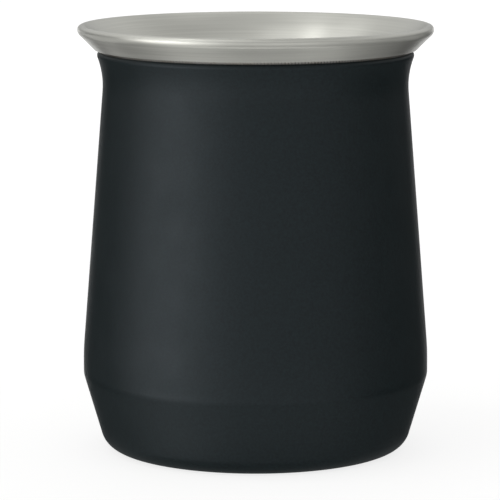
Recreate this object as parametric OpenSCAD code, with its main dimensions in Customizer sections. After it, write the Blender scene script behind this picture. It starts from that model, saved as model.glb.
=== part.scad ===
// Double-walled steel mate cup: a folded bare rim over a coated shell and bottom cap, with an
// inner cup hung from the rim's collar and a vacuum between the walls.
// Millimetres, +Z up, origin at the middle of the resting ring's plane.

/* [Cup] */
// Height of the cup, from the table to the top of the lip
cup_h = 107; // [98:0.5:120]
// Outside diameter of the lip
lip_d = 89; // [84:0.5:93]
// Thickness of the steel sheet that the walls are formed from
sheet_t = 0.6; // [0.5:0.05:0.8]
// Gap between the walls at the neck
vacuum_gap = 3.4; // [2.5:0.1:5]

/* [Rim] */
// Radius of the fold at the top of the lip
lip_r = 1.1; // [1:0.05:1.4]
// Rounding of the lip's outside, below its widest ring
brow_r = 1.8; // [1.4:0.1:2.6]
// Flare of the rim's outside where it leaves the lip, in degrees from upright
rim_flare = 47; // [43:1:50]
// Radius of the hollow curve of the rim's outside
flare_r = 80; // [50:5:120]
// Flare of the rim's inside where it leaves the lip, in degrees from upright
funnel_flare = 55; // [52:1:60]
// Radius of the curve of the rim's inside
funnel_r = 30; // [24:1:36]
// Height of the bare rim, from its seat on the shell to the top of the lip
rim_h = 6; // [5.2:0.1:7]
// Rounding of the throat, where the rim turns down into the well
throat_r = 6; // [4:0.5:9]
// Length of the straight collar below the throat
collar_l = 2; // [1.2:0.1:4]

/* [Body shell] */
// Height of the groove between the rim's edge and the shell's top edge
groove_h = 0.6; // [0.3:0.05:0.8]
// Distance that the groove sets the shell's top edge in from the rim's edge
groove_in = 0.35; // [0.2:0.05:0.5]
// Inside radius of the bend at the shell's top edge
edge_bend = 0.6; // [0.4:0.05:0.8]
// Place on the bend where the weld under the rim starts, in degrees up from its outermost point
seat_angle = 52; // [46:1:60]
// Width of the turned-in flange inside the groove
flange_w = 1.3; // [1.1:0.05:1.6]
// Distance that the neck draws in from the shell's top edge
neck_in = 1.35; // [1.2:0.05:3]
// Radius of the neck's hollow curve
neck_r = 20; // [14:0.5:30]
// Widest diameter of the body
body_d = 87; // [82:0.1:94]
// Height of the upright band above the crease
band_h = 6; // [3.2:0.1:8]
// Rounding where the body's taper meets the band
belly_r = 55; // [10:1:60]
// Height of the crease above the table
crease_h = 19; // [16:0.1:25]
// Rounding of the crease
crease_r = 5; // [1:0.5:8]
// Length of the skirt below the crease, down to the seam with the bottom cap
skirt_l = 1.6; // [1:0.1:4]

/* [Bottom cap] */
// Taper of the foot, in degrees from upright
foot_taper = 16.4; // [10:0.2:22]
// Rounding of the bottom edge
foot_r = 5.4; // [3:0.1:8]
// Width of the flat resting ring
foot_w = 4.5; // [3:0.1:8]
// Outside radius of the bend at the ring's inner edge
foot_bend = 1; // [0.9:0.1:2]
// Depth of the recess under the cup
recess_h = 2.6; // [2.2:0.1:4]
// Radius of the dimple that holds the seal
dimple_r = 5; // [4.5:0.1:8]
// Depth of the dimple
dimple_h = 1.6; // [1.4:0.1:2.5]
// Diameter of the evacuation hole
vent_d = 1.6; // [1:0.1:2.5]

/* [Inner cup] */
// Height of the well's floor above the table
floor_h = 12; // [10:0.5:18]
// Taper of the well, in degrees from upright
well_taper = 2; // [0.5:0.1:4]
// Rounding between the well's wall and its floor
well_r = 12; // [6:0.5:18]

/* [Foil wrap] */
// Thickness of the foil
foil_t = 0.15; // [0.1:0.05:0.3]
// Clearance between the foil and the inner cup
foil_gap = 0.1; // [0.05:0.05:0.3]

/* [Welds] */
// Width of each weld bead, and leg of the fillet under the rim
weld_w = 0.9; // [0.8:0.05:1.1]
// Height of a weld bead above the sheet
weld_h = 0.35; // [0.2:0.05:0.6]

/* [Getter and seal] */
// Diameter of the getter pellet
getter_d = 9; // [6:0.5:12]
// Thickness of the getter pellet
getter_h = 2.5; // [1.5:0.1:3]
// Distance from the cup's axis to the pellet
getter_x = 15; // [13:0.5:17]
// Width of the clip's strap
strap_w = 5; // [3:0.5:6]
// Thickness of the clip's strap
strap_t = 0.4; // [0.3:0.05:0.6]
// Length of each of the clip's feet
strap_foot = 2.5; // [1.5:0.1:4]
// Clearance between the pellet and the clip's legs
strap_gap = 0.2; // [0.1:0.05:0.5]
// Clearance between the glass seal and the wall of the dimple
seal_gap = 1; // [0.5:0.1:2]
// Clearance between the glass seal and the base disc
seal_cover = 0.5; // [0.2:0.1:0.8]

/* [Base disc] */
// Thickness of the base disc
disc_t = 0.6; // [0.4:0.05:1]
// Clearance between the base disc and the wall of the recess
disc_gap = 0.3; // [0.1:0.05:0.8]
// Chamfer of the base disc's lower edge
disc_chamfer = 0.2; // [0.1:0.05:0.3]

/* [Hidden] */

bare_steel = [0.65, 0.65, 0.63];
black_coat = [0.16, 0.18, 0.19];
weld_metal = [0.5, 0.5, 0.5];
copper = [0.72, 0.45, 0.3];
pellet_grey = [0.35, 0.35, 0.36];
seal_glass = [0.55, 0.62, 0.6];

// A profile is a list of stations [point, way]. The point lies on the sheet's outer face, and the
// way leads out of the sheet, so one thickness against the way is the sheet's other face.
function polar(r, a) = r * [cos(a), sin(a)];

function arc(centre, r, from, to, steps, side = 1) = [
    for (i = [0:steps])
        let (a = from + (to - from) * i / steps)
            [centre + polar(r, a), side * polar(1, a)]
];

function face(stations, depth = 0) = [for (s = stations) s[0] - depth * s[1]];

function rest(list) = [for (i = [1:len(list) - 1]) list[i]];

function backwards(list) = [for (i = [len(list) - 1:-1:0]) list[i]];

function layer(stations, depth, t) =
    concat(face(stations, depth), backwards(face(stations, depth + t)));

// A weld bead on the sheet's hidden face, a parabola in section
function bead(point, way, steps = 8) = [
    for (i = [0:steps])
        let (s = 2 * i / steps - 1)
            point - (sheet_t + weld_h * (1 - s * s)) * way + s * weld_w / 2 * [-way[1], way[0]]
];

// Rim: the centres of its curves, and the two corners of the outer leg's cut edge
lip_c = [lip_d / 2 - lip_r, cup_h - lip_r];
brow_c = [lip_d / 2 - brow_r, lip_c[1]];
flare_c = brow_c + polar(brow_r + flare_r, -rim_flare);
funnel_c = lip_c + polar(funnel_r - lip_r, -funnel_flare);
seam_z = cup_h - rim_h;
flare_rise = seam_z - flare_c[1];
flare_end = 180 - asin(flare_rise / flare_r);
rim_edge_r = flare_c[0] + flare_r * cos(flare_end);
rim_edge_in_r = flare_c[0] - sqrt(pow(flare_r + sheet_t, 2) - pow(flare_rise, 2));

// Shell's top edge: a bend under the groove, which the weld and the neck's curve touch
seat = [rim_edge_in_r - groove_in, seam_z - groove_h];
bend_r = sheet_t + edge_bend;
bend_c = seat - polar(bend_r, seat_angle);
flange_z = bend_c[1] + bend_r;
neck_outer_r = bend_c[0] + bend_r - neck_in;
neck_reach = neck_r + bend_r;
neck_c = [neck_outer_r + neck_r, bend_c[1] - sqrt(neck_in * (2 * neck_reach - neck_in))];
bend_end = atan2(neck_c[1] - bend_c[1], neck_c[0] - bend_c[0]);

// Body: a straight taper that touches the neck's curve and runs down to the top of the band
band_top = [body_d / 2, crease_h + band_h];
body_run = band_top - neck_c;
body_taper = 180 + atan2(body_run[1], body_run[0]) - acos(neck_r / norm(body_run));
crease_reach = crease_r * tan(foot_taper / 2);
belly_fit_r = min(belly_r, (band_h - crease_reach) / tan(body_taper / 2));
belly_c = band_top - belly_fit_r * [1, tan(body_taper / 2)];
crease_c = [body_d / 2 - crease_r, crease_h + crease_reach];

// Seam between the shell and the bottom cap, on the foot's taper
foot_way = polar(1, -foot_taper);
cap_seam = crease_c + crease_r * foot_way - skirt_l * [sin(foot_taper), cos(foot_taper)];

// Bottom cap: the rounded edge touches the table, and the recess starts inside the resting ring
foot_edge_r = body_d / 2 - crease_h * tan(foot_taper);
foot_c = [foot_edge_r - foot_r * tan(45 - foot_taper / 2), foot_r];
ring_bend_c = [foot_c[0] - foot_w, foot_bend];
recess_r = ring_bend_c[0] - foot_bend;
cap_floor_z = recess_h + sheet_t;
dimple_top = recess_h + dimple_h;

// Well: its mouth is one vacuum gap inside the neck. The throat rounds the funnel into the collar,
// and the wall runs straight on from it.
well_way = polar(1, 180 - well_taper);
well_down = [-sin(well_taper), -cos(well_taper)];
mouth_r = neck_outer_r - vacuum_gap - 2 * sheet_t;
throat_c_r = mouth_r + throat_r * cos(well_taper);
funnel_end = acos((funnel_c[0] - throat_c_r) / (funnel_r - throat_r));
throat_c = funnel_c + polar(funnel_r - throat_r, 180 - funnel_end);
mouth_seam = throat_c + throat_r * well_way + collar_l * well_down;
corner_z = floor_h + well_r;
corner_in = well_r + (mouth_seam[1] - corner_z) * sin(well_taper);
corner_c = [mouth_seam[0] - corner_in / cos(well_taper), corner_z];

rim_stations = concat(
    [[[rim_edge_r, seam_z], [(rim_edge_r - rim_edge_in_r) / sheet_t, 0]]],
    rest(arc(flare_c, flare_r, flare_end, 180 - rim_flare, 5, -1)),
    arc(brow_c, brow_r, -rim_flare, 0, 8),
    arc(lip_c, lip_r, 0, 180 - funnel_flare, 14),
    arc(funnel_c, funnel_r, 180 - funnel_flare, 180 - funnel_end, 8),
    arc(throat_c, throat_r, 180 - funnel_end, 180 - well_taper, 8),
    [[mouth_seam, well_way]]
);
seat_stations = arc(bend_c, bend_r, 90, seat_angle, 3);
shell_stations = concat(
    [[[seat[0] - flange_w, flange_z], [0, 1]]],
    seat_stations,
    arc(bend_c, bend_r, seat_angle, bend_end, 8),
    arc(neck_c, neck_r, 180 + bend_end, 180 + body_taper, 14, -1),
    arc(belly_c, belly_fit_r, body_taper, 0, 5),
    arc(crease_c, crease_r, 0, -foot_taper, 5),
    [[cap_seam, foot_way]]
);
cap_stations = concat(
    [[cap_seam, foot_way]],
    arc(foot_c, foot_r, -foot_taper, -90, 12),
    arc(ring_bend_c, foot_bend, -90, -180, 6),
    [
        [[recess_r, recess_h], [-1, -1]],
        [[dimple_r, recess_h], [-1, -1]],
        [[dimple_r, dimple_top], [-1, -1]],
        [[vent_d / 2, dimple_top], [0, -1]]
    ]
);
well_stations = concat(
    [[mouth_seam, well_way]],
    arc(corner_c, well_r, -well_taper, -90, 14, -1),
    [[[0, floor_h], [0, 1]]]
);
foil_stations = [
    [mouth_seam + weld_w * well_down, well_way],
    [corner_c - well_r * well_way, well_way]
];

module turned(outline) {
    rotate_extrude($fn = 180) polygon(outline);
}

module rim() {
    color(bare_steel) turned(layer(rim_stations, 0, sheet_t));
}

module body_shell() {
    color(black_coat) turned(layer(shell_stations, 0, sheet_t));
}

module bottom_cap() {
    color(black_coat) turned(layer(cap_stations, 0, sheet_t));
}

module inner_cup() {
    color(bare_steel) turned(layer(well_stations, 0, sheet_t));
}

module mouth_weld() {
    color(weld_metal) turned(bead(mouth_seam, well_way));
}

// A fillet behind the groove, from the hidden face of the rim's outer leg to the shell's flange and bend
module neck_weld() {
    leg = face(rim_stations, sheet_t);
    leg_run = leg[1] - leg[0];
    leg_end = leg[0] + weld_w * leg_run / norm(leg_run);
    flange_end = [min(seat[0] - weld_w, bend_c[0]), flange_z];
    color(weld_metal) turned(concat([leg[0], leg_end, flange_end], face(seat_stations)));
}

module cap_weld() {
    color(weld_metal) turned(bead(cap_seam, foot_way));
}

module foil_wrap() {
    color(copper) turned(layer(foil_stations, sheet_t + foil_gap, foil_t));
}

module getter() {
    color(pellet_grey)
        translate([getter_x, 0, cap_floor_z])
            cylinder(d = getter_d, h = getter_h, $fn = 64);
}

// One bent strap over the pellet, drawn from the outer end of one foot to the other
module getter_clip() {
    leg = getter_d / 2 + strap_gap;
    toe = leg + strap_t + strap_foot;
    top = getter_h + strap_t;
    outline = [
        [-toe, 0], [-leg, 0], [-leg, getter_h], [leg, getter_h], [leg, 0], [toe, 0], [toe, strap_t],
        [leg + strap_t, strap_t], [leg + strap_t, top], [-leg - strap_t, top], [-leg - strap_t, strap_t],
        [-toe, strap_t]
    ];
    color(bare_steel)
        translate([getter_x, 0, cap_floor_z])
            rotate([90, 0, 90])
                linear_extrude(strap_w, center = true) polygon(outline);
}

// Glass dome under the dimple's top, with a stem that fills the evacuation hole
module seal_bead() {
    dome_r = dimple_r - seal_gap;
    dome_h = dimple_h - seal_cover;
    dome_steps = 10;
    dome = [
        for (i = [0:dome_steps])
            let (a = 90 * i / dome_steps)
                [dome_r * cos(a), dimple_top - dome_h * sin(a)]
    ];
    stem = [[0, dimple_top + sheet_t], [vent_d / 2, dimple_top + sheet_t], [vent_d / 2, dimple_top]];
    color(seal_glass) turned(concat(stem, dome));
}

module base_disc() {
    disc_r = recess_r - disc_gap;
    disc_z = recess_h - disc_t;
    color(bare_steel)
        turned([
            [0, recess_h], [disc_r, recess_h], [disc_r, disc_z + disc_chamfer],
            [disc_r - disc_chamfer, disc_z], [0, disc_z]
        ]);
}

rim();
body_shell();
bottom_cap();
inner_cup();
mouth_weld();
neck_weld();
cap_weld();
foil_wrap();
getter();
getter_clip();
seal_bead();
base_disc();
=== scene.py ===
"""Looks of a double-walled steel mate cup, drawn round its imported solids. Metres and degrees, +Z up."""

import math

import bpy
import numpy as np
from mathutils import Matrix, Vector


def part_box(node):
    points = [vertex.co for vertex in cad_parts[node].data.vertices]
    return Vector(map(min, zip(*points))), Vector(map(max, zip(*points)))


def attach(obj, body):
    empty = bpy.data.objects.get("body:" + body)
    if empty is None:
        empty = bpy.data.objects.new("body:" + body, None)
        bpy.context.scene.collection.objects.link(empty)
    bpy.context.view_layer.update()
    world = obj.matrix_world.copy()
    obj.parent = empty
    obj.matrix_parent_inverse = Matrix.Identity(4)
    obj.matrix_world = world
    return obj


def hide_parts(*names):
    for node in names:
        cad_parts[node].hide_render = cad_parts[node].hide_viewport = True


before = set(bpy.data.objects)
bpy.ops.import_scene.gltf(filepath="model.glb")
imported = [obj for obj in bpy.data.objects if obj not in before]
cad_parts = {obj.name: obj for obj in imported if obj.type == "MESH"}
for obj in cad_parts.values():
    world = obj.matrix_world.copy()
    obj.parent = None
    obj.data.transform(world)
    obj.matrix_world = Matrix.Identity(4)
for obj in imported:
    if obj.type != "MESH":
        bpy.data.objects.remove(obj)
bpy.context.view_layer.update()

MM = 0.001

# Sizes read from the solids
rim_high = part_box("rim")[1]
shell_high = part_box("body_shell")[1]
well_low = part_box("inner_cup")[0]
disc_low, disc_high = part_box("base_disc")
cup_h = rim_high.z
lip_out_r = rim_high.x
flange_z = shell_high.z
body_r = shell_high.x
recess_h = disc_high.z
disc_r = disc_high.x
disc_z = disc_low.z

# Other sizes that the solids are formed from
sheet_t = 0.6 * MM
lip_r = 1.1 * MM
brow_r = 1.8 * MM
rim_flare = 47
flare_r = 80 * MM
funnel_flare = 55
funnel_r = 30 * MM
rim_h = 6 * MM
throat_r = 6 * MM
collar_l = 2 * MM
vacuum_gap = 3.4 * MM
groove_h = 0.6 * MM
groove_in = 0.35 * MM
edge_bend = 0.6 * MM
seat_angle = 52
flange_w = 1.3 * MM
neck_in = 1.35 * MM
neck_r = 20 * MM
band_h = 6 * MM
belly_r = 55 * MM
crease_h = 19 * MM
crease_r = 5 * MM
skirt_l = 1.6 * MM
foot_taper = 16.4
foot_r = 5.4 * MM
foot_w = 4.5 * MM
foot_bend = 1 * MM
dimple_r = 5 * MM
dimple_h = 1.6 * MM
vent_r = 0.8 * MM
well_taper = 2
well_r = 12 * MM
disc_chamfer = 0.2 * MM
floor_h = well_low.z + sheet_t

# Fineness of the meshes: faces in a turn, the longest step on a round and on a straight, and the angle from
# which an edge is sharp. A point nearer to the axis than AXIS_R lies on it.
COLUMNS = 288
ARC_STEP = 3.5
RUN_STEP = 1.5 * MM
SHARP_ANGLE = 38
AXIS_R = 1e-7


# Profiles


def polar(radius, angle):
    """The point at a radius and an angle from +R towards +Z, in a profile's plane."""
    turn = np.radians(angle)
    return radius * np.stack([np.cos(turn), np.sin(turn)], axis=-1)


def arc(centre, radius, start, end, side=1):
    """Stations [r, z, way r, way z] on a round: the centre plus the radius at each angle.

    The way leads out of the sheet, along the radius where side is 1 and against it where it is -1.
    """
    steps = math.ceil(abs(end - start) / ARC_STEP)
    angles = np.linspace(start, end, steps + 1)
    return np.hstack([centre + polar(radius, angles), side * polar(1, angles)])


def station(point, way):
    """One station of a profile, as a row to join to the others."""
    return np.array([[*point, *way]])


def joined(*runs):
    """The runs end to end, with stations added between two that are further apart than RUN_STEP."""
    rows = np.concatenate(runs)
    gaps = np.linalg.norm(np.diff(rows[:, :2], axis=0), axis=1)
    pieces = np.maximum(np.ceil(gaps / RUN_STEP), 1).astype(int)
    places = np.repeat(np.arange(len(pieces)), pieces)
    parts = np.arange(len(places)) - np.repeat(np.cumsum(pieces) - pieces, pieces)
    at = np.append(places + parts / pieces[places], len(pieces))
    whole = np.minimum(at.astype(int), len(rows) - 2)
    share = (at - whole)[:, None]
    return rows[whole] * (1 - share) + rows[whole + 1] * share


def sheet(stations):
    """The closed outline of a sheet: along its face, then back one thickness behind it."""
    return np.concatenate([stations[:, :2], (stations[:, :2] - sheet_t * stations[:, 2:])[::-1]])


# Rim: the centres of its curves, and the two corners of the outer leg's cut edge
lip_c = np.array([lip_out_r - lip_r, cup_h - lip_r])
brow_c = np.array([lip_out_r - brow_r, cup_h - lip_r])
flare_c = brow_c + polar(brow_r + flare_r, -rim_flare)
funnel_c = lip_c + polar(funnel_r - lip_r, -funnel_flare)
seam_z = cup_h - rim_h
flare_rise = seam_z - flare_c[1]
flare_end = 180 - math.degrees(math.asin(flare_rise / flare_r))
rim_edge_r = flare_c[0] + polar(flare_r, flare_end)[0]
rim_edge_in_r = flare_c[0] - math.sqrt((flare_r + sheet_t) ** 2 - flare_rise ** 2)

# Shell's top edge: a bend under the groove, which the weld and the neck's curve touch
seat = np.array([rim_edge_in_r - groove_in, seam_z - groove_h])
bend_r = sheet_t + edge_bend
bend_c = seat - polar(bend_r, seat_angle)
neck_outer_r = bend_c[0] + bend_r - neck_in
neck_drop = math.sqrt(neck_in * (2 * (neck_r + bend_r) - neck_in))
neck_c = np.array([neck_outer_r + neck_r, bend_c[1] - neck_drop])
bend_end = math.degrees(math.atan2(neck_c[1] - bend_c[1], neck_c[0] - bend_c[0]))

# Body: a straight taper from the neck's curve down to the upright band above the crease
band_top = np.array([body_r, crease_h + band_h])
body_run = band_top - neck_c
run_angle = math.degrees(math.atan2(body_run[1], body_run[0]))
body_taper = 180 + run_angle - math.degrees(math.acos(neck_r / np.hypot(*body_run)))
half_taper = math.tan(math.radians(body_taper / 2))
crease_reach = crease_r * math.tan(math.radians(foot_taper / 2))
belly_fit_r = min(belly_r, (band_h - crease_reach) / half_taper)
belly_c = band_top - belly_fit_r * np.array([1, half_taper])
crease_c = np.array([body_r - crease_r, crease_h + crease_reach])

# Foot: its taper, the seam between shell and cap, the rounded edge and the resting ring
foot_way = polar(1, -foot_taper)
foot_down = polar(1, -90 - foot_taper)
cap_seam = crease_c + crease_r * foot_way + skirt_l * foot_down
foot_edge_r = body_r - crease_h * math.tan(math.radians(foot_taper))
foot_c = np.array([foot_edge_r - foot_r * math.tan(math.radians(45 - foot_taper / 2)), foot_r])
ring_bend_c = np.array([foot_c[0] - foot_w, foot_bend])
recess_r = ring_bend_c[0] - foot_bend
dimple_top = recess_h + dimple_h

# Well: its mouth is one vacuum gap inside the neck, and the throat rounds the funnel into it
well_way = polar(1, 180 - well_taper)
well_down = polar(1, -90 - well_taper)
mouth_r = neck_outer_r - vacuum_gap - 2 * sheet_t
throat_c_r = mouth_r + throat_r * math.cos(math.radians(well_taper))
funnel_end = math.degrees(math.acos((funnel_c[0] - throat_c_r) / (funnel_r - throat_r)))
throat_c = funnel_c + polar(funnel_r - throat_r, 180 - funnel_end)
mouth_seam = throat_c + throat_r * well_way + collar_l * well_down
corner_z = floor_h + well_r
corner_in = well_r + (mouth_seam[1] - corner_z) * math.sin(math.radians(well_taper))
corner_c = np.array([mouth_seam[0] - corner_in / math.cos(math.radians(well_taper)), corner_z])

rim_outline = sheet(joined(
    station([rim_edge_r, seam_z], [(rim_edge_r - rim_edge_in_r) / sheet_t, 0]),
    arc(flare_c, flare_r, flare_end, 180 - rim_flare, side=-1)[1:],
    arc(brow_c, brow_r, -rim_flare, 0)[1:],
    arc(lip_c, lip_r, 0, 180 - funnel_flare)[1:],
    arc(funnel_c, funnel_r, 180 - funnel_flare, 180 - funnel_end)[1:],
    arc(throat_c, throat_r, 180 - funnel_end, 180 - well_taper)[1:],
    station(mouth_seam, well_way),
))
shell_outline = sheet(joined(
    station([seat[0] - flange_w, flange_z], [0, 1]),
    arc(bend_c, bend_r, 90, bend_end),
    arc(neck_c, neck_r, 180 + bend_end, 180 + body_taper, side=-1)[1:],
    arc(belly_c, belly_fit_r, body_taper, 0),
    arc(crease_c, crease_r, 0, -foot_taper),
    station(cap_seam, foot_way),
))
cap_outline = sheet(joined(
    station(cap_seam, foot_way),
    arc(foot_c, foot_r, -foot_taper, -90),
    arc(ring_bend_c, foot_bend, -90, -180),
    station([recess_r, recess_h], [-1, -1]),
    station([dimple_r, recess_h], [-1, -1]),
    station([dimple_r, dimple_top], [-1, -1]),
    station([vent_r, dimple_top], [0, -1]),
))
well_outline = sheet(joined(
    station(mouth_seam, well_way),
    arc(corner_c, well_r, -well_taper, -90, side=-1),
    station([0, floor_h], [0, 1]),
))
disc_outline = joined(
    station([0, recess_h], [0, 0]),
    station([disc_r, recess_h], [0, 0]),
    station([disc_r, disc_z + disc_chamfer], [0, 0]),
    station([disc_r - disc_chamfer, disc_z], [0, 0]),
    station([0, disc_z], [0, 0]),
)[:, :2]


# Surfaces


def turned(name, outline):
    """A closed profile carried round the axis: at turn a, point (r, z) goes to (r cos a, r sin a, z).

    A point on the axis is one vertex with a fan of triangles round it. The map "turned" holds the turn's
    share of a circle and the distance along the profile in metres. An outline that runs with the solid
    on its left is turned the other way round, so that the faces always point outwards.
    """
    following = np.roll(outline, -1, axis=0)
    swept = np.sum(outline[:, 0] * following[:, 1] - following[:, 0] * outline[:, 1])
    outline = outline if swept < 0 else outline[::-1]
    rows = len(outline)
    polar_row = outline[:, 0] < AXIS_R
    per_row = np.where(polar_row, 1, COLUMNS)
    first = np.cumsum(per_row) - per_row
    row_of = np.repeat(np.arange(rows), per_row)
    column_of = np.arange(per_row.sum()) - first[row_of]
    turn = 2 * np.pi * column_of / COLUMNS
    radius = outline[row_of, 0]
    points = np.stack([radius * np.cos(turn), radius * np.sin(turn), outline[row_of, 1]], axis=1)

    columns = np.arange(COLUMNS + 1)
    index = first[:, None] + np.where(polar_row[:, None], 0, columns % COLUMNS)
    step = np.linalg.norm(np.diff(outline, axis=0), axis=1)
    along = np.append(0, np.cumsum(step))
    share = np.broadcast_to(columns / COLUMNS, (rows, COLUMNS + 1))
    grid_map = np.stack([share, np.broadcast_to(along[:, None], share.shape)], axis=2)
    low = np.arange(rows)
    high = (low + 1) % rows
    corners = [(low, 0), (low, 1), (high, 1), (high, 0)]
    rings = [index[row][:, columns[side:COLUMNS + side]] for row, side in corners]
    maps = [grid_map[row][:, columns[side:COLUMNS + side]] for row, side in corners]
    quads = np.stack(rings, axis=2)
    quad_map = np.stack(maps, axis=2)
    full = ~polar_row[low] & ~polar_row[high]
    from_pole = polar_row[low] & ~polar_row[high]
    to_pole = ~polar_row[low] & polar_row[high]
    picks = [(full, [0, 1, 2, 3]), (from_pole, [0, 2, 3]), (to_pole, [0, 1, 2])]
    faces = []
    map_rows = []
    for chosen, order in picks:
        faces += quads[chosen][:, :, order].reshape(-1, len(order)).tolist()
        map_rows.append(quad_map[chosen][:, :, order].reshape(-1, 2))

    mesh = bpy.data.meshes.new(name)
    mesh.from_pydata(points, [], faces)
    layer = mesh.uv_layers.new(name="turned")
    layer.uv.foreach_set("vector", np.concatenate(map_rows).astype(np.float32).ravel())
    mesh.shade_smooth()
    mesh.set_sharp_from_angle(angle=math.radians(SHARP_ANGLE))
    piece = bpy.data.objects.new(name, mesh)
    bpy.context.scene.collection.objects.link(piece)
    return piece


# Materials

# A soft noise seldom leaves this range
NOISE_LOW = 0.3
NOISE_HIGH = 0.7

# Places of a mix node's sockets, whose names aren't unique: its share, two plain numbers and two colours
MIX_SHARE = 0
MIX_FIRST = 2
MIX_SECOND = 3
MIX_DARK = 6
MIX_LIGHT = 7


def linear(hex_code):
    """A colour written as sRGB hex, as the linear RGBA that a node takes."""
    parts = [int(hex_code[i:i + 2], 16) / 255 for i in (1, 3, 5)]
    return [c / 12.92 if c <= 0.04045 else ((c + 0.055) / 1.055) ** 2.4 for c in parts] + [1]


def put(tree, kind, inputs=None, **settings):
    """Adds a node with its settings.

    An input is a value to set, an output to link, or a node whose first live output is linked.
    """
    node = tree.nodes.new(kind)
    for key, value in settings.items():
        setattr(node, key, value)
    for key, value in (inputs or {}).items():
        if isinstance(value, bpy.types.Node):
            value = next(output for output in value.outputs if output.enabled)
        if isinstance(value, bpy.types.NodeSocket):
            tree.links.new(value, node.inputs[key])
        else:
            node.inputs[key].default_value = value
    return node


def new_material(name):
    """An empty material, its tree, and the place in metres that its patterns are read at."""
    material = bpy.data.materials.new(name)
    material.use_nodes = True
    tree = material.node_tree
    tree.nodes.clear()
    return material, tree, put(tree, "ShaderNodeTexCoord").outputs["Object"]


def powder_coat():
    """Matt black polyester powder, sprayed and baked: a fine dull grain over a soft orange peel.

    Hands and tables rub its widest ring and its foot a little smoother, in patches.
    """
    material, tree, place = new_material("black_powder_coat_baked")
    # The powder's grain is finer than this, and is drawn coarser so that it shows
    grain_w = 0.6 * MM
    peel_w = 2.2 * MM
    cloud_w = 9 * MM
    relief = 0.012 * MM
    ring_reach = 2 * MM
    foot_reach = 4 * MM
    rub_polish = 0.12
    grain = put(tree, "ShaderNodeTexNoise", {"Vector": place, "Scale": 1 / grain_w})
    peel = put(tree, "ShaderNodeTexNoise", {"Vector": place, "Scale": 1 / peel_w, "Detail": 1})
    cloud = put(tree, "ShaderNodeTexNoise", {"Vector": place, "Scale": 1 / cloud_w, "Detail": 3})
    speckle = put(tree, "ShaderNodeMapRange", {
        "Value": grain,
        "From Min": NOISE_LOW,
        "From Max": NOISE_HIGH,
    })
    colour = put(tree, "ShaderNodeMix", {
        MIX_SHARE: speckle,
        MIX_DARK: linear("#050a0b"),
        MIX_LIGHT: linear("#0c1516"),
    }, data_type="RGBA")

    height = put(tree, "ShaderNodeSeparateXYZ", {"Vector": place}).outputs["Z"]
    over_crease = put(tree, "ShaderNodeMath", {0: height, 1: crease_h}, operation="SUBTRACT")
    off_crease = put(tree, "ShaderNodeMath", {0: over_crease}, operation="ABSOLUTE")
    ring_rub = put(tree, "ShaderNodeMapRange", {
        "Value": off_crease,
        "From Max": ring_reach,
        "To Min": 1,
        "To Max": 0,
    })
    foot_rub = put(tree, "ShaderNodeMapRange", {
        "Value": height,
        "From Max": foot_reach,
        "To Min": 1,
        "To Max": 0,
    })
    rub = put(tree, "ShaderNodeMath", {0: ring_rub, 1: foot_rub}, operation="MAXIMUM")
    patchy_rub = put(tree, "ShaderNodeMath", {0: rub, 1: cloud}, operation="MULTIPLY")
    dull = put(tree, "ShaderNodeMapRange", {
        "Value": cloud,
        "From Min": NOISE_LOW,
        "From Max": NOISE_HIGH,
        "To Min": 0.44,
        "To Max": 0.5,
    })
    rough = put(tree, "ShaderNodeMath", {0: patchy_rub, 1: -rub_polish, 2: dull}, operation="MULTIPLY_ADD")

    peeled = put(tree, "ShaderNodeBump", {"Height": peel, "Strength": 1, "Distance": relief})
    grained = put(tree, "ShaderNodeBump", {
        "Height": grain,
        "Strength": 1,
        "Distance": relief,
        "Normal": peeled,
    })
    shader = put(tree, "ShaderNodeBsdfPrincipled", {
        "Base Color": colour,
        "Roughness": rough,
        "IOR": 1.5,
        "Specular IOR Level": 0.35,
        "Specular Tint": linear("#e6f1fa"),
        "Normal": grained,
    })
    put(tree, "ShaderNodeOutputMaterial", {"Surface": shader})
    return material


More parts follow.
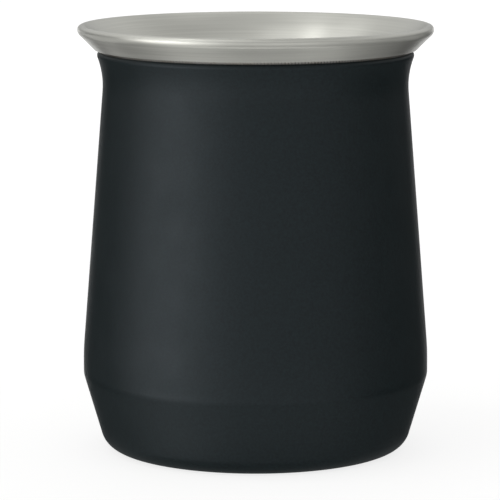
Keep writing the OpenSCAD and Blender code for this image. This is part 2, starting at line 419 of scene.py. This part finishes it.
def spun_steel(name, dark, light, rough, wave):
    """Stainless sheet, spun and then satin brushed on the lathe: fine lines run round it like hoops.

    They blur what it mirrors more across them than along them. Slow waves from the spinning bend the
    mirror, and handling leaves soft smudges.
    """
    material, tree, place = new_material(name)
    # The brush's lines are finer than this, and are drawn coarser so that they show
    line_w = 0.6 * MM
    line_l = 40 * MM
    line_depth = 0.003 * MM
    smudge_w = 14 * MM
    wave_w = 9 * MM
    rough_change = 0.03
    turned_map = put(tree, "ShaderNodeUVMap", uv_map="turned")
    along = put(tree, "ShaderNodeSeparateXYZ", {"Vector": turned_map}).outputs["Y"]
    across = put(tree, "ShaderNodeMath", {0: along, 1: 1 / line_w}, operation="MULTIPLY")
    across_way = put(tree, "ShaderNodeCombineXYZ", {"Z": across})
    hoop = put(tree, "ShaderNodeVectorMath", {
        0: place,
        1: (1 / line_l, 1 / line_l, 0),
    }, operation="MULTIPLY")
    brushed = put(tree, "ShaderNodeVectorMath", {0: hoop, 1: across_way}, operation="ADD")
    lines = put(tree, "ShaderNodeTexNoise", {"Vector": brushed, "Scale": 1, "Detail": 3})
    smudge = put(tree, "ShaderNodeTexNoise", {"Vector": place, "Scale": 1 / smudge_w, "Detail": 3})
    waves = put(tree, "ShaderNodeTexNoise", {"Vector": place, "Scale": 1 / wave_w, "Detail": 1})
    tone = put(tree, "ShaderNodeMapRange", {
        "Value": lines,
        "From Min": NOISE_LOW,
        "From Max": NOISE_HIGH,
    })
    colour = put(tree, "ShaderNodeMix", {
        MIX_SHARE: tone,
        MIX_DARK: linear(dark),
        MIX_LIGHT: linear(light),
    }, data_type="RGBA")

    brushed_rough = put(tree, "ShaderNodeMapRange", {
        "Value": lines,
        "From Min": NOISE_LOW,
        "From Max": NOISE_HIGH,
        "To Min": rough - rough_change,
        "To Max": rough + rough_change,
    })
    smudged = put(tree, "ShaderNodeMapRange", {
        "Value": smudge,
        "From Min": NOISE_LOW,
        "From Max": NOISE_HIGH,
        "To Min": -rough_change,
        "To Max": rough_change,
    })
    wavy = put(tree, "ShaderNodeBump", {"Height": waves, "Strength": 1, "Distance": wave})
    grooved = put(tree, "ShaderNodeBump", {
        "Height": lines,
        "Strength": 1,
        "Distance": line_depth,
        "Normal": wavy,
    })
    shader = put(tree, "ShaderNodeBsdfPrincipled", {
        "Base Color": colour,
        "Metallic": 1,
        "Roughness": put(tree, "ShaderNodeMath", {0: brushed_rough, 1: smudged}, operation="ADD"),
        "Anisotropic": 0.5,
        "Anisotropic Rotation": 0.25,
        "Tangent": put(tree, "ShaderNodeTangent", direction_type="UV_MAP", uv_map="turned"),
        "Normal": grooved,
    })
    put(tree, "ShaderNodeOutputMaterial", {"Surface": shader})
    return material


def fused_bead():
    """Weld metal, left as it froze: ripples lie across the bead like scales, with a faint straw tint."""
    material, tree, place = new_material("stainless_steel_welded")
    ripples_round = 300
    ripple_depth = 0.04 * MM
    tint_w = 4 * MM
    axes = put(tree, "ShaderNodeSeparateXYZ", {"Vector": place})
    turn = put(tree, "ShaderNodeMath", {0: axes.outputs["Y"], 1: axes.outputs["X"]}, operation="ARCTAN2")
    phase = put(tree, "ShaderNodeMath", {0: turn, 1: ripples_round}, operation="MULTIPLY")
    ripple = put(tree, "ShaderNodeMath", {0: phase}, operation="SINE")
    heat = put(tree, "ShaderNodeTexNoise", {"Vector": place, "Scale": 1 / tint_w, "Detail": 3})
    shader = put(tree, "ShaderNodeBsdfPrincipled", {
        "Base Color": put(tree, "ShaderNodeMix", {
            MIX_SHARE: heat,
            MIX_DARK: linear("#8d8473"),
            MIX_LIGHT: linear("#a9aaac"),
        }, data_type="RGBA"),
        "Metallic": 1,
        "Roughness": put(tree, "ShaderNodeMapRange", {"Value": heat, "To Min": 0.18, "To Max": 0.52}),
        "Normal": put(tree, "ShaderNodeBump", {"Height": ripple, "Strength": 1, "Distance": ripple_depth}),
    })
    put(tree, "ShaderNodeOutputMaterial", {"Surface": shader})
    return material


def creased_foil():
    """Copper foil, rolled thin and wrapped by hand: bright, with creases and a few dulled patches."""
    material, tree, place = new_material("copper_foil_rolled")
    crease_w = 7 * MM
    crease_depth = 0.3 * MM
    dent_w = 11 * MM
    dent_depth = 0.2 * MM
    creases = put(tree, "ShaderNodeTexVoronoi", {
        "Vector": place,
        "Scale": 1 / crease_w,
    }, feature="DISTANCE_TO_EDGE")
    tarnish = put(tree, "ShaderNodeTexNoise", {"Vector": place, "Scale": 1 / dent_w, "Detail": 3})
    dented = put(tree, "ShaderNodeBump", {"Height": tarnish, "Strength": 1, "Distance": dent_depth})
    shader = put(tree, "ShaderNodeBsdfPrincipled", {
        "Base Color": put(tree, "ShaderNodeMix", {
            MIX_SHARE: tarnish,
            MIX_DARK: linear("#a8633d"),
            MIX_LIGHT: linear("#d49468"),
        }, data_type="RGBA"),
        "Metallic": 1,
        "Roughness": put(tree, "ShaderNodeMapRange", {"Value": tarnish, "To Min": 0.1, "To Max": 0.55}),
        "Normal": put(tree, "ShaderNodeBump", {
            "Height": creases.outputs["Distance"],
            "Strength": 1,
            "Distance": crease_depth,
            "Normal": dented,
        }),
    })
    put(tree, "ShaderNodeOutputMaterial", {"Surface": shader})
    return material


def pressed_pellet():
    """Getter alloy powder, pressed and sintered: dark and dull, with open grains."""
    material, tree, place = new_material("getter_alloy_sintered")
    grain_w = 0.4 * MM
    grain_depth = 0.08 * MM
    grains = put(tree, "ShaderNodeTexNoise", {"Vector": place, "Scale": 1 / grain_w, "Detail": 4})
    shader = put(tree, "ShaderNodeBsdfPrincipled", {
        "Base Color": put(tree, "ShaderNodeMix", {
            MIX_SHARE: grains,
            MIX_DARK: linear("#38383a"),
            MIX_LIGHT: linear("#5f5f5e"),
        }, data_type="RGBA"),
        "Metallic": 1,
        "Roughness": put(tree, "ShaderNodeMapRange", {"Value": grains, "To Min": 0.55, "To Max": 0.95}),
        "Normal": put(tree, "ShaderNodeBump", {"Height": grains, "Strength": 1, "Distance": grain_depth}),
    })
    put(tree, "ShaderNodeOutputMaterial", {"Surface": shader})
    return material


def rolled_strip():
    """Spring steel strip, cold rolled: smooth, with fine lines along the strap, which runs along Y."""
    material, tree, place = new_material("spring_steel_rolled")
    line_w = 0.2 * MM
    line_stretch = 0.02
    line_depth = 0.004 * MM
    rolled = put(tree, "ShaderNodeVectorMath", {
        0: place,
        1: (1, line_stretch, line_stretch),
    }, operation="MULTIPLY")
    lines = put(tree, "ShaderNodeTexNoise", {"Vector": rolled, "Scale": 1 / line_w, "Detail": 3})
    shader = put(tree, "ShaderNodeBsdfPrincipled", {
        "Base Color": put(tree, "ShaderNodeMix", {
            MIX_SHARE: lines,
            MIX_DARK: linear("#8f9092"),
            MIX_LIGHT: linear("#a6a7a8"),
        }, data_type="RGBA"),
        "Metallic": 1,
        "Roughness": put(tree, "ShaderNodeMapRange", {"Value": lines, "To Min": 0.15, "To Max": 0.4}),
        "Normal": put(tree, "ShaderNodeBump", {"Height": lines, "Strength": 1, "Distance": line_depth}),
    })
    put(tree, "ShaderNodeOutputMaterial", {"Surface": shader})
    return material


def solder_glass():
    """Solder glass, melted into the dimple: a glossy grey-green bead, clouded by small bubbles."""
    material, tree, place = new_material("solder_glass_fused")
    bubble_w = 1.5 * MM
    bubble_depth = 0.02 * MM
    bubbles = put(tree, "ShaderNodeTexNoise", {"Vector": place, "Scale": 1 / bubble_w, "Detail": 3})
    shader = put(tree, "ShaderNodeBsdfPrincipled", {
        "Base Color": put(tree, "ShaderNodeMix", {
            MIX_SHARE: bubbles,
            MIX_DARK: linear("#5d6d66"),
            MIX_LIGHT: linear("#8b9a92"),
        }, data_type="RGBA"),
        "Roughness": put(tree, "ShaderNodeMapRange", {"Value": bubbles, "To Min": 0.02, "To Max": 0.18}),
        "IOR": 1.6,
        "Transmission Weight": 0.3,
        "Normal": put(tree, "ShaderNodeBump", {"Height": bubbles, "Strength": 1, "Distance": bubble_depth}),
    })
    put(tree, "ShaderNodeOutputMaterial", {"Surface": shader})
    return material


coat = powder_coat()
rim_steel = spun_steel("stainless_steel_satin_spun", "#bfbfb8", "#cbcbc4", 0.37, 0.04 * MM)
well_steel = spun_steel("stainless_steel_drawn_well", "#b0b0aa", "#c0c0b9", 0.38, 0.03 * MM)
disc_steel = spun_steel("stainless_steel_turned_disc", "#a4a4a1", "#b8b8b4", 0.32, 0.01 * MM)


# Pieces

dressings = [
    ("rim_skin", "rim", rim_outline, rim_steel, "satin_steel"),
    ("shell_skin", "body_shell", shell_outline, coat, "black_coat"),
    ("cap_skin", "bottom_cap", cap_outline, coat, "black_coat"),
    ("well_skin", "inner_cup", well_outline, well_steel, "satin_steel"),
    ("disc_skin", "base_disc", disc_outline, disc_steel, "satin_steel"),
]
for piece_name, node, outline, finish, slot_name in dressings:
    piece = turned(piece_name, outline)
    piece.data.materials.append(finish)
    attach(piece, "root")
    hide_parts(node)

# Solids that stay as they are, between the walls, behind the groove and under the foot
bead = fused_bead()
kept = {
    "mouth_weld": bead,
    "neck_weld": bead,
    "cap_weld": bead,
    "foil_wrap": creased_foil(),
    "getter": pressed_pellet(),
    "getter_clip": rolled_strip(),
    "seal_bead": solder_glass(),
}
for node, finish in kept.items():
    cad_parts[node].material_slots[0].material = finish


# Stage: a pale floor, soft light from the left and from above, and a long lens a little above the lip

# Floor of white acrylic, lit from below: pale and even, with faint clouds. The cup doesn't mirror it, so
# that its white doesn't wash out the coat's dark edges.
FLOOR_HALF = 6
FLOOR_CLOUD_W = 60 * MM
FLOOR_GLOW = 0.8
floor_mesh = bpy.data.meshes.new("floor")
floor_corners = FLOOR_HALF * np.array([[-1, -1, 0], [1, -1, 0], [1, 1, 0], [-1, 1, 0]])
floor_mesh.from_pydata(floor_corners, [], [[0, 1, 2, 3]])
floor = bpy.data.objects.new("floor", floor_mesh)
bpy.context.scene.collection.objects.link(floor)
floor_paint, floor_tree, floor_place = new_material("white_acrylic_lit_from_below")
floor_cloud = put(floor_tree, "ShaderNodeTexNoise", {"Vector": floor_place, "Scale": 1 / FLOOR_CLOUD_W})
floor_shader = put(floor_tree, "ShaderNodeBsdfPrincipled", {
    "Base Color": put(floor_tree, "ShaderNodeMix", {
        MIX_SHARE: floor_cloud,
        MIX_DARK: linear("#8a8a89"),
        MIX_LIGHT: linear("#8e8e8d"),
    }, data_type="RGBA"),
    "Roughness": 0.9,
    "Specular IOR Level": 0.1,
    "Emission Color": linear("#ffffff"),
    "Emission Strength": FLOOR_GLOW,
})
put(floor_tree, "ShaderNodeOutputMaterial", {"Surface": floor_shader})
floor_mesh.materials.append(floor_paint)
floor.visible_glossy = False
floor.visible_shadow = False

# A round grey card just under the floor, as wide as the body. Only the foot mirrors it, as the shade that
# the cup casts round itself.
CARD_Z = -0.5 * MM
CARD_CORNERS = 64
CARD_GLOW = 0.2
card_turn = 2 * np.pi * np.arange(CARD_CORNERS) / CARD_CORNERS
card_height = np.full(CARD_CORNERS, CARD_Z)
card_edge = np.stack([body_r * np.cos(card_turn), body_r * np.sin(card_turn), card_height], axis=1)
card_mesh = bpy.data.meshes.new("shade_card")
card_mesh.from_pydata(card_edge, [], [list(range(CARD_CORNERS))])
card = bpy.data.objects.new("shade_card", card_mesh)
bpy.context.scene.collection.objects.link(card)
card_paint, card_tree = new_material("grey_card")[:2]
card_shader = put(card_tree, "ShaderNodeEmission", {"Color": linear("#ffffff"), "Strength": CARD_GLOW})
put(card_tree, "ShaderNodeOutputMaterial", {"Surface": card_shader})
card_mesh.materials.append(card_paint)
card.visible_camera = False
card.visible_diffuse = False
card.visible_shadow = False


# Distance from the cup's middle to a lamp, if it isn't given
LAMP_DISTANCE = 1.3


def softbox(name, azimuth, elevation, width, height, radiance, distance=LAMP_DISTANCE, spread=180):
    """A rectangular lamp that looks at the cup, at an azimuth from the camera's side towards +X.

    A lamp of radiance L and area A gives a power of pi times L times A, in watts.
    """
    lamp = bpy.data.lights.new(name, "AREA")
    lamp.shape = "RECTANGLE"
    lamp.size = width
    lamp.size_y = height
    lamp.spread = math.radians(spread)
    lamp.energy = math.pi * radiance * width * height
    holder = bpy.data.objects.new(name, lamp)
    swing = math.radians(azimuth)
    rise = math.radians(elevation)
    away = np.array([
        math.cos(rise) * math.sin(swing),
        -math.cos(rise) * math.cos(swing),
        math.sin(rise),
    ])
    holder.location = distance * away + np.array([0, 0, cup_h / 2])
    holder.rotation_euler = (math.pi / 2 - rise, 0, swing)
    holder.visible_camera = False
    bpy.context.scene.collection.objects.link(holder)
    return holder


softbox("glint_softbox", azimuth=-85, elevation=65, width=0.16, height=0.14, radiance=9)
softbox("glow_softbox", azimuth=-45, elevation=73, width=0.45, height=0.2, radiance=1.2)
softbox("back_card", azimuth=180, elevation=-7, width=1.1, height=0.5, radiance=1)

# Cards that light the bare rim alone, so that the coat keeps its dark edges
rim_cards = [
    softbox("left_card", azimuth=-122, elevation=-21, width=1.2, height=0.7, radiance=0.5),
    softbox("left_strip", azimuth=-130, elevation=-3, width=1.2, height=0.3, radiance=0.4),
    softbox("right_card", azimuth=102, elevation=-13, width=1.9, height=0.7, radiance=0.35),
    softbox("front_card", azimuth=20, elevation=-14, width=0.9, height=0.6, radiance=0.15),
    softbox("far_card", azimuth=180, elevation=3, width=2, height=0.25, radiance=0.4),
    softbox("upper_card", azimuth=-118, elevation=53, width=0.6, height=0.3, radiance=0.7),
]
rim_lit = bpy.data.collections.new("rim_lit")
rim_lit.objects.link(bpy.data.objects["rim_skin"])
for rim_card in rim_cards:
    rim_card.light_linking.receiver_collection = rim_lit

# A lamp behind the cup that hangs level and lights the floor there
backdrop_lamp = softbox(
    "backdrop_lamp",
    azimuth=180,
    elevation=40,
    width=0.8,
    height=2,
    radiance=0.4,
    distance=1.9,
    spread=80,
)
backdrop_lamp.rotation_euler = (0, 0, 0)

# Tent round the cup, as pairs of height and radiance. The height is that of the way that light comes from,
# where -1 is straight down and 1 straight up. One panel is behind the camera, one behind the cup, and a key
# panel adds to them on the left. The cup mirrors the tent's lower half in place of the floor.
TENT_FRONT = [
    (-1, 1.3),
    (-0.8, 0.2),
    (-0.6, 0.6),
    (-0.35, 0.8),
    (-0.1, 0.9),
    (0.3, 0.4),
    (0.7, 0.9),
    (1, 0.75),
]
TENT_BACK = [
    (-1, 1.4),
    (-0.8, 0.37),
    (-0.5, 0.09),
    (-0.25, 0.05),
    (0.05, 0.03),
    (0.25, 0.65),
    (0.6, 0.8),
    (1, 0.45),
]
TENT_KEY = [
    (-1, 0),
    (-0.7, 0.4),
    (-0.4, 1.2),
    (-0.2, 1.5),
    (0, 4.3),
    (0.2, 0.1),
    (0.5, 1.2),
    (0.8, 0.3),
    (1, 0),
]

# The key panel's azimuth, and the power of the cosine off it by which it fades
KEY_AZIMUTH = -62
KEY_FOCUS = 10

# Where the front panel gives way to the back one, by how far back the way leads, from -1 to 1
BACK_START = -0.9
BACK_FULL = 0.1

world = bpy.data.worlds.new("studio")
world.use_nodes = True
world.node_tree.nodes.clear()
tent = world.node_tree
light_way = put(tent, "ShaderNodeTexCoord").outputs["Generated"]
tent_height = put(tent, "ShaderNodeMapRange", {
    "Value": put(tent, "ShaderNodeSeparateXYZ", {"Vector": light_way}).outputs["Z"],
    "From Min": -1,
})

# Each panel is a curve over height, straight between its stops
panels = []
for stops in (TENT_FRONT, TENT_BACK, TENT_KEY):
    panel = put(tent, "ShaderNodeFloatCurve", {"Value": tent_height})
    panel.mapping.use_clip = False
    curve = panel.mapping.curves[0]
    for stop_height, radiance in stops[1:-1]:
        curve.points.new((stop_height + 1) / 2, radiance)
    curve.points[0].location = (0, stops[0][1])
    curve.points[-1].location = (1, stops[-1][1])
    for point in curve.points:
        point.handle_type = "VECTOR"
    panel.mapping.update()
    panels.append(panel)
front_panel, back_panel, key_panel = panels

level_way = put(tent, "ShaderNodeVectorMath", {0: light_way, 1: (1, 1, 0)}, operation="MULTIPLY")
round_way = put(tent, "ShaderNodeVectorMath", {0: level_way}, operation="NORMALIZE")
behind_cup = put(tent, "ShaderNodeMapRange", {
    "Value": put(tent, "ShaderNodeSeparateXYZ", {"Vector": round_way}).outputs["Y"],
    "From Min": BACK_START,
    "From Max": BACK_FULL,
}, interpolation_type="SMOOTHSTEP")
plain_glow = put(tent, "ShaderNodeMix", {
    MIX_SHARE: behind_cup,
    MIX_FIRST: front_panel,
    MIX_SECOND: back_panel,
}, data_type="FLOAT")
key_turn = math.radians(KEY_AZIMUTH)
key_facing = put(tent, "ShaderNodeVectorMath", {
    0: round_way,
    1: (math.sin(key_turn), -math.cos(key_turn), 0),
}, operation="DOT_PRODUCT")
key_lit = put(tent, "ShaderNodeMath", {0: key_facing, 1: 0}, operation="MAXIMUM")
key_beam = put(tent, "ShaderNodeMath", {0: key_lit, 1: KEY_FOCUS}, operation="POWER")
glow = put(tent, "ShaderNodeMath", {
    0: key_beam,
    1: key_panel,
    2: plain_glow,
}, operation="MULTIPLY_ADD")
sky = put(tent, "ShaderNodeBackground", {"Color": linear("#ffffff"), "Strength": glow})
put(tent, "ShaderNodeOutputWorld", {"Surface": sky})
bpy.context.scene.world = world

# Camera: the distance, height and tilt that the photograph's ellipses give
camera_x = -1.4 * MM
camera_y = -785.8 * MM
camera_z = 168.5 * MM
camera_tilt = 8.575
lens_mm = 226.7
sensor_mm = 36
camera_data = bpy.data.cameras.new("camera")
camera_data.sensor_width = sensor_mm
camera_data.lens = lens_mm
camera = bpy.data.objects.new("camera", camera_data)
camera.location = (camera_x, camera_y, camera_z)
camera.rotation_euler = (math.radians(90 - camera_tilt), 0, 0)
bpy.context.scene.collection.objects.link(camera)
bpy.context.scene.camera = camera
bpy.context.scene.view_settings.view_transform = "Standard"
